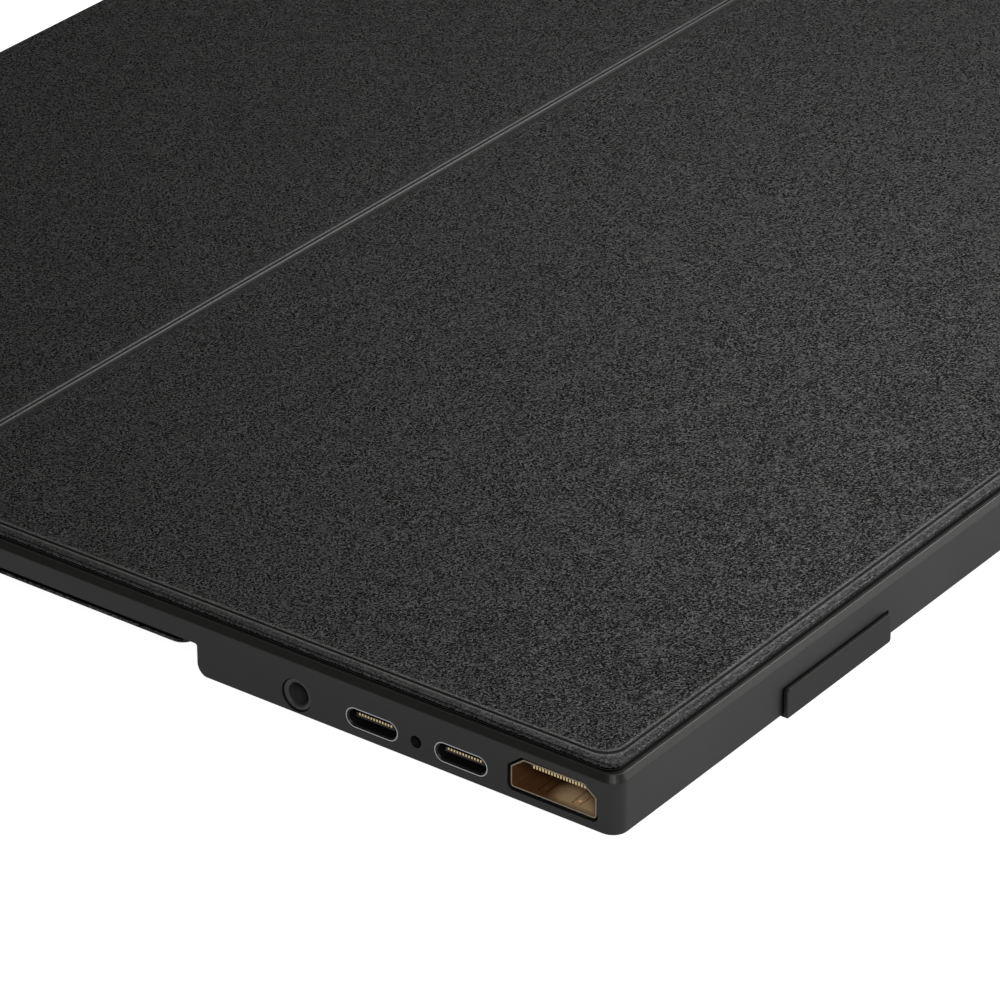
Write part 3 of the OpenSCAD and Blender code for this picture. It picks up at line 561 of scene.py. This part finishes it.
def bend(cy, cz, radius, a0, a1, count=10):
    """Rows round a fold, as (y, z, normal y, normal z, distance to the free edge)."""
    rows = []
    for i in range(count + 1):
        a = math.radians(a0 + (a1 - a0) * i / count)
        rows.append((cy + radius * math.cos(a), cz + radius * math.sin(a), math.cos(a), math.sin(a), FAR))
    return rows


def upright(y, za, zb, count=5):
    """Rows up the spine."""
    return [(y, za + (zb - za) * i / count, 1.0, 0.0, FAR) for i in range(count + 1)]


def join_rows(*parts):
    """Rows of several stretches, with the ones they share kept once."""
    rows = []
    for part in parts:
        for row in part:
            if not rows or abs(row[0] - rows[-1][0]) + abs(row[1] - rows[-1][1]) > 1e-3:
                rows.append(row)
    return rows


def ring_radius(d, corner, groove):
    """Corner radius of the line that runs at distance d from the edge: it opens up to the border line and
    closes again further in."""
    opening, closing = 1.3, 5.0
    widest = corner + opening
    if d < groove:
        return corner + opening * d / groove
    return max(0.0, widest * (1 - (d - groove) / closing))


def ease_corner(a, b, corner, groove):
    """Moves a point at distances a and b from the side and the free edge onto rings with round corners."""
    d = min(a, b)
    r = ring_radius(d, corner, groove)
    s = max(a, b) - d
    if s >= r or r <= 0:
        return a, b
    turn = math.radians(45 * (1 - s / r))
    near, far = d + r - r * math.cos(turn), d + r - r * math.sin(turn)
    return (far, near) if b <= a else (near, far)


def sheet(name, rows, half, thick, relief, corner, groove, *finishes):
    """A closed sheet that follows a side profile, thick millimetres deep behind its outer face. A second
    finish goes on its cut edges. Its attribute "press" tells where a tool has flattened the grain; the other
    two tell where painted shade goes, with less gloss, and where a painted highlight goes, with more gloss."""
    outer, inner = [], []
    marks = {"press": [], "painted_shade_and_dull": [], "painted_highlight_and_gloss": []}
    cols = columns(half)
    for y, z, ny, nz, free in rows:
        for x, side in cols:
            a, b = ease_corner(side, free, corner, groove)
            px = math.copysign(half - a, x) if side < CORNER_REACH else x
            # A free edge lies at the low y end of its stretch, where a move inwards is a move along +Y
            py = y + (b - free)
            h, *worked = relief(min(side, free), y, z, nz)
            outer.append((px, py + ny * h, z + nz * h))
            inner.append((px, py - ny * thick, z - nz * thick))
            for values, value in zip(marks.values(), worked):
                values.append(value)
    n, m = len(cols), len(rows)
    points = [(x * MM, y * MM, z * MM) for x, y, z in outer + inner]
    back = n * m
    faces = []
    for i in range(m - 1):
        for j in range(n - 1):
            q = (i * n + j, i * n + j + 1, (i + 1) * n + j + 1, (i + 1) * n + j)
            faces += [q, tuple(back + v for v in reversed(q))]
    sheet_faces = len(faces)
    rim = (
        list(range(n)) + [i * n + n - 1 for i in range(1, m)]
        + [(m - 1) * n + j for j in range(n - 2, -1, -1)] + [i * n for i in range(m - 2, 0, -1)]
    )
    for a, b in zip(rim, rim[1:] + rim[:1]):
        faces.append((b, a, back + a, back + b))
    made = mesh_piece(name, points, faces, *finishes)
    if len(finishes) > 1:
        for face in made.data.polygons[sheet_faces:]:
            face.material_index = 1
    for key, values in marks.items():
        made.data.attributes.new(key, "FLOAT", "POINT").data.foreach_set("value", values + [0.0] * back)
    if made.data.polygons[0].normal.dot(Vector((0, rows[0][2], rows[0][3]))) < 0:
        made.data.flip_normals()
    return made


def bump_at(distance, centre, width):
    """A smooth hump of height 1."""
    return math.exp(-(((distance - centre) / width) ** 2))


def eased_edge(d, radius):
    """Height of a face over its flat at a distance from its edge, which is rounded with a radius."""
    return math.sqrt(max(0.0, radius * radius - (radius - d) ** 2)) - radius if d < radius else 0.0


def leather_relief(d, y, z, nz):
    """Height of the leather's face over its flat, then how far it is pressed flat, and how much painted shade
    and painted highlight it gets: eased edge, pressed border line and crease."""
    sizes = bpy.context.scene.monitor_cover
    h = eased_edge(d, LEATHER_EASE)
    on_front = z >= TOP_Z - 2 and nz >= 0.99
    if not on_front:
        return h, 0.0, 0.0, 0.0
    # The border line: a groove between two low lips, which fades out before the fold at the spine
    groove = sizes.border_in / MM
    fade = min(1.0, max(0.0, (SPINE_Y - BORDER_END - y) / BORDER_FADE))
    h -= fade * sizes.border_depth / MM * bump_at(d, groove, BORDER_WIDTH)
    border_lips = fade * sum(bump_at(d, groove + side * BORDER_LIP_OUT, BORDER_LIP_WIDTH) for side in (-1, 1))
    h += BORDER_LIP_HEIGHT * border_lips
    # The strip outside the border line is a little crowned, and its grain is ironed flatter
    strip = groove - STRIP_GAP
    strip_flat = 0.0
    if d < strip:
        h -= fade * STRIP_FALL * (1 - d / strip) ** 2
        strip_flat = 0.45 * fade
    # The crease: a groove between two lips, and a shallow, worn valley on its near side
    c = y - CREASE_Y
    h -= sizes.crease_depth / MM * bump_at(c, 0, CREASE_WIDTH)
    far_lip, near_lip = (bump_at(c, side * CREASE_LIP_OUT, CREASE_WIDTH) for side in (1, -1))
    h += CREASE_LIP_HEIGHT * (far_lip + near_lip)
    h -= VALLEY_DEPTH * bump_at(c, -VALLEY_OUT, VALLEY_WIDTH)
    # Shares of full: grain pressed flat, painted shade in lines and valley, painted highlight on the lips
    border_flat, crease_flat = 0.8 * fade * bump_at(d, groove, 0.5), 0.9 * bump_at(c, -0.4, 1.5)
    border_dark = fade * min(1.0, 1.4 * bump_at(d, groove, 0.2))
    crease_dark = min(1.0, 2.2 * bump_at(c, 0, 0.2))
    valley_dark = 0.4 * bump_at(c, -1.3, 0.35)
    flat = max(strip_flat, border_flat, crease_flat)
    dark = max(border_dark, crease_dark, valley_dark)
    return h, flat, dark, max(0.85 * border_lips, 0.75 * far_lip, near_lip)


def plain_relief(d, y, z, nz):
    """Height of the lining's hidden face: only its cut edge is eased, and no tool has marked it."""
    return eased_edge(d, LINING_EASE), 0.0, 0.0, 0.0


def cover_rows():
    """Rows of the leather's three sheets, from the back flap's free edge round the spine to the front's."""
    return side_rows(FLAP_Y, FRONT_Y, FLAP_Z, TOP_Z, SPINE_Y, LEATHER_BEND)


def lining_rows(inset):
    """Rows of the lining: its outer face lies on the boards, so it has its own heights."""
    z0, z1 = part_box("flap_lining")[0].z / MM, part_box("lower_lining")[1].z / MM
    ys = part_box("spine_lining")[1].y / MM
    return side_rows(FLAP_Y + LINING_SHORT, FRONT_Y + inset, z0, z1, ys, LINING_BEND)


def side_rows(y_flap, y_front, z0, z1, ys, radius):
    """Rows of three sheets that follow one another along a side profile."""
    low, high = z0 + radius, z1 - radius
    flap = join_rows(
        straight(y_flap, ys - radius, z0, -1.0, free_at=y_flap),
        bend(ys - radius, low, radius, -90, 0), upright(ys, low, SPINE_SEAM_Z))
    spine = join_rows(
        upright(ys, SPINE_SEAM_Z, high), bend(ys - radius, high, radius, 0, 90),
        straight(ys - radius, PANEL_SEAM_Y, z1, 1.0))
    front = straight(PANEL_SEAM_Y, y_front, z1, 1.0, free_at=y_front, crease=CREASE_Y)
    return flap, spine, front


def blend_cover(flap, spine, front):
    """Bakes each sheet's place into its mesh; the sheets are not made to bend. Each row below gives a sheet,
    its fold, the bodies on the fold's two sides, and two pairs for where a bend would start and end, a little
    to each side of the fold's axis: how far along Y and Z, in millimetres. Only the sheet is used."""
    for piece, joint, bodies, before, after in (
        (flap, "spine_fold", ("monitor", "spine"), (-1.3, -1.3), (0.5, 1.3)),
        (spine, "cover_fold", ("spine", "cover_upper"), (0.9, -1.6), (-1.5, 0.8)),
        (front, "crease_fold", ("cover_upper", "cover_lower"), (0.35, 0.0), (-0.35, 0.0)),
    ):
        y, z = FOLDS[joint][1:]
        start, end = ((0, (y + dy) * MM, (z + dz) * MM) for dy, dz in (before, after))
        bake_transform(piece)
        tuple(start)
        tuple(end)


# ---- Operators -----------------------------------------------------------


class MONITOR_OT_leather(bpy.types.Operator):
    """Make the leather of the cover, from the back flap round the spine to the front edge"""

    bl_idname = "monitor.leather"
    bl_label = "Leather"

    def execute(self, context):
        sizes = context.scene.monitor_cover
        finish = pu_leather()
        names = ("leather_flap", "leather_spine", "leather_front")
        stood_for = (("flap_leather",), ("spine_leather", "upper_leather"), ("lower_leather",))
        made = []
        for name, rows, nodes in zip(names, cover_rows(), stood_for):
            piece = sheet(name, rows, HALF_X, sizes.leather / MM, leather_relief, sizes.corner / MM,
                          sizes.border_in / MM, finish)
            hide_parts(*nodes)
            made.append(piece)
        blend_cover(*made)
        return {"FINISHED"}


class MONITOR_OT_lining(bpy.types.Operator):
    """Make the microfibre lining and finish the boards between it and the leather"""

    bl_idname = "monitor.lining"
    bl_label = "Lining and boards"

    def execute(self, context):
        sizes = context.scene.monitor_cover
        # The lining's cut edges are painted black, partly as painted shade under the leather's edge
        finish, edge = microfibre(), edge_paint_and_painted_shade()
        inset = sizes.inset / MM
        names = ("lining_flap", "lining_spine", "lining_front")
        stood_for = (("flap_lining",), ("spine_lining", "upper_lining"), ("lower_lining",))
        made = []
        for name, rows, nodes in zip(names, lining_rows(inset), stood_for):
            piece = sheet(name, rows, HALF_X - inset, sizes.lining / MM, plain_relief,
                          sizes.corner / MM - inset * 0.6, sizes.border_in / MM, finish, edge)
            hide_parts(*nodes)
            made.append(piece)
        blend_cover(*made)
        dress(dyed_board(), "flap_board", "spine_board", "upper_board", "lower_board")
        dress(neodymium(), "flap_magnets", "lower_magnets", "housing_magnets", "frame_magnets")
        return {"FINISHED"}


class MONITOR_OT_housing(bpy.types.Operator):
    """Finish the moulded housing, the front frame, the keys and the feet"""

    bl_idname = "monitor.housing"
    bl_label = "Housing, keys and feet"

    def execute(self, context):
        colours = context.scene.monitor_colours
        dress(moulded_abs("spark_eroded_abs_housing", colours.housing, 0.48), "rear_housing")
        # The bezel's top edge gets a painted highlight, at 0.7 of full
        dress(moulded_abs("satin_abs_bezel", colours.bezel, 0.42, 0.7), "front_frame")
        dress(moulded_abs("polished_abs_keys", colours.housing, 0.38), "power_button", "menu_rocker")
        dress(silicone_rubber(), "foot_left", "foot_right")
        return {"FINISHED"}


class MONITOR_OT_screen(bpy.types.Operator):
    """Finish the display panel and the layers behind it"""

    bl_idname = "monitor.screen"
    bl_label = "Screen"

    def execute(self, context):
        dress(lcd_surface(), "display_panel")
        dress(filled_polymer("moulded_acrylic_light_guide", "#d9dde0", 0.35), "backlight")
        dress(filled_polymer("lamp_strip_lacquer", "#e8dfae", 0.4), "led_bar")
        dress(plated_metal("galvanised_panel_plate", "#a9aeb2", 0.4, 0.5 * MM), "panel_back_plate")
        return {"FINISHED"}


class MONITOR_OT_sockets(bpy.types.Operator):
    """Finish the video socket, the two reversible sockets, the audio jack and the status light"""

    bl_idname = "monitor.sockets"
    bl_label = "Sockets"

    def execute(self, context):
        dress(gilt_socket(), "hdmi_shell")
        dress(filled_polymer("glass_filled_connector_body", "#161616", 0.45), "hdmi_tongue",
              "usb_c_near_tongue", "usb_c_far_tongue")
        dress(plated_metal("gold_plated_contacts", "#ffe6b0", 0.25, 0.2 * MM), "hdmi_contacts",
              "usb_c_near_contacts", "usb_c_far_contacts", "jack_springs")
        dress(plated_metal("nickel_plated_shell", "#c9cbce", 0.28, 0.3 * MM), "usb_c_near_shell",
              "usb_c_far_shell")
        dress(filled_polymer("moulded_nylon_jack", "#464648", 0.36), "audio_jack")
        dress(smoked_acrylic(), "status_light")
        return {"FINISHED"}


class MONITOR_OT_electronics(bpy.types.Operator):
    """Finish the boards, the flat cable, the speakers, the switches and the small parts of the keys"""

    bl_idname = "monitor.electronics"
    bl_label = "Inner pieces"

    def execute(self, context):
        dress(fibreglass_board(), "driver_board", "main_board", "switch_board")
        dress(filled_polymer("polyimide_flat_cable", "#b5772c", 0.35), "flex_cable")
        dress(filled_polymer("moulded_speaker_box", "#1d1e20", 0.55), "speaker_left", "speaker_right",
              "key_bracket")
        dress(plated_metal("zinc_plated_steel", "#b4b7ba", 0.32, 0.3 * MM), "board_screws", "tact_switches",
              "rocker_pin")
        return {"FINISHED"}


# The lamps: name, place and what it points at in metres, width, height, and power in watts
LAMPS = (
    ("fill_softbox", (-0.95, -0.75, 0.75), (-0.15, -0.08, 0.0), 0.5, 0.5, 4.5),
    ("front_softbox", (1.1, -0.75, 0.8), (-0.1, -0.03, 0.01), 0.9, 0.6, 14.5),
    ("sheen_softbox", (0.125, 0.0, 0.25), (-0.12, -0.05, 0.0), 0.2, 0.2, 0.29),
    ("back_softbox", (0.95, 0.75, 0.75), (-0.1, -0.03, 0.01), 0.8, 0.8, 0.65),
)
WORLD_STRENGTH = 0.05
# The floor's number of sides, and its level: a hair under the soles, so that the faces don't share one plane
FLOOR_SIDES, FLOOR_Z = 64, -0.02 * MM
# The near lower corner of the body, how far the camera stands from it, and the way the camera looks
NEAR_CORNER = Vector((-0.178, -0.1098, 0.0008))
CAMERA_OFFSET = Vector((-0.5033, -0.3517, 0.3944))
CAMERA_LOOK = Vector((0.70286, 0.51851, -0.48696))


class MONITOR_OT_studio(bpy.types.Operator):
    """Set the pale floor, the soft lamps, the world and the camera"""

    bl_idname = "monitor.studio"
    bl_label = "Studio"

    def execute(self, context):
        studio = context.scene.monitor_studio
        scene = context.scene
        made, tree, surface, coord = material("matt_pale_floor_paint")
        wear = mottle(tree, coord, 0.2, linear("#bcbcbc"), 0.01)
        paint = add(tree, "BsdfPrincipled", {"Base Color": wear, "Roughness": 0.9, "Specular IOR Level": 0.0})
        # How much paler than it is lit the camera and mirror rays see the floor. Its shadow stays.
        camera_glow, mirror_glow = 0.95, 0.42
        seen, mirrored = (add(tree, "LightPath", out=kind) for kind in ("Is Camera Ray", "Is Glossy Ray"))
        share = add(tree, "Math", {"Value": mirrored, "Value_001": mirror_glow}, operation="MULTIPLY")
        share = add(
            tree, "Math", {"Value": seen, "Value_001": camera_glow, "Value_002": share},
            operation="MULTIPLY_ADD",
        )
        glow = add(tree, "Emission", {"Color": (1.0, 1.0, 1.0, 1.0), "Strength": share})
        tree.links.new(add(tree, "AddShader", {"Shader": paint, "Shader_001": glow}), surface)
        half = studio.floor / 2
        turns = np.linspace(0, 2 * math.pi, FLOOR_SIDES + 1)[:-1]
        rim = [(half * math.cos(a), half * math.sin(a), FLOOR_Z) for a in turns]
        floor = mesh_piece("floor", rim, [tuple(range(FLOOR_SIDES))], made)

        world = bpy.data.worlds.new("soft_studio")
        scene.world = world
        world.use_nodes = True
        world.node_tree.nodes["Background"].inputs["Color"].default_value = (1.0, 1.0, 1.0, 1.0)
        world.node_tree.nodes["Background"].inputs["Strength"].default_value = WORLD_STRENGTH

        for name, place, aim, width, height, power in LAMPS:
            lamp = bpy.data.lights.new(name, "AREA")
            lamp.shape, lamp.size, lamp.size_y, lamp.energy = "RECTANGLE", width, height, power
            holder = bpy.data.objects.new(name, lamp)
            holder.location = place
            holder.visible_camera = False
            holder.rotation_euler = (Vector(aim) - Vector(place)).to_track_quat("-Z", "Y").to_euler()
            scene.collection.objects.link(holder)

        camera = bpy.data.cameras.new("camera")
        camera.sensor_width = 36.0
        camera.lens = studio.lens
        camera.clip_start, camera.clip_end = 0.01, 50.0
        eye = bpy.data.objects.new("camera", camera)
        eye.location = NEAR_CORNER + CAMERA_OFFSET
        eye.rotation_euler = CAMERA_LOOK.to_track_quat("-Z", "Y").to_euler()
        scene.collection.objects.link(eye)
        scene.camera = eye
        scene.view_settings.view_transform = "Standard"
        return {"FINISHED"}


STEPS = (
    MONITOR_OT_studio, MONITOR_OT_housing, MONITOR_OT_screen, MONITOR_OT_sockets, MONITOR_OT_electronics,
    MONITOR_OT_leather, MONITOR_OT_lining,
)


class MONITOR_PT_pieces(bpy.types.Panel):
    """Lists the steps that dress the monitor, with their sizes and colours"""

    bl_label = "Portable monitor"
    bl_idname = "MONITOR_PT_pieces"
    bl_space_type = "VIEW_3D"
    bl_region_type = "UI"
    bl_category = "Monitor"

    def draw(self, context):
        for group in ("monitor_cover", "monitor_colours", "monitor_studio"):
            values = getattr(context.scene, group)
            box = self.layout.box()
            for key in values.__annotations__:
                box.prop(values, key)
        for step in STEPS:
            self.layout.operator(step.bl_idname)


GROUPS = {
    "monitor_cover": MonitorCoverSizes,
    "monitor_colours": MonitorColours,
    "monitor_studio": MonitorStudio,
}


def register():
    """Adds the classes and their settings to Blender."""
    for cls in (*GROUPS.values(), *STEPS, MONITOR_PT_pieces):
        bpy.utils.register_class(cls)
    for name, cls in GROUPS.items():
        setattr(bpy.types.Scene, name, bpy.props.PointerProperty(type=cls))


def unregister():
    """Takes them out again."""
    for name in GROUPS:
        delattr(bpy.types.Scene, name)
    for cls in reversed((*GROUPS.values(), *STEPS, MONITOR_PT_pieces)):
        bpy.utils.unregister_class(cls)


def main():
    """Registers the add-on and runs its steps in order."""
    register()
    for step in STEPS:
        group, name = step.bl_idname.split(".")
        if getattr(getattr(bpy.ops, group), name)() != {"FINISHED"}:
            raise RuntimeError(f"{step.bl_idname} didn't finish")


if __name__ == "__main__":
    main()
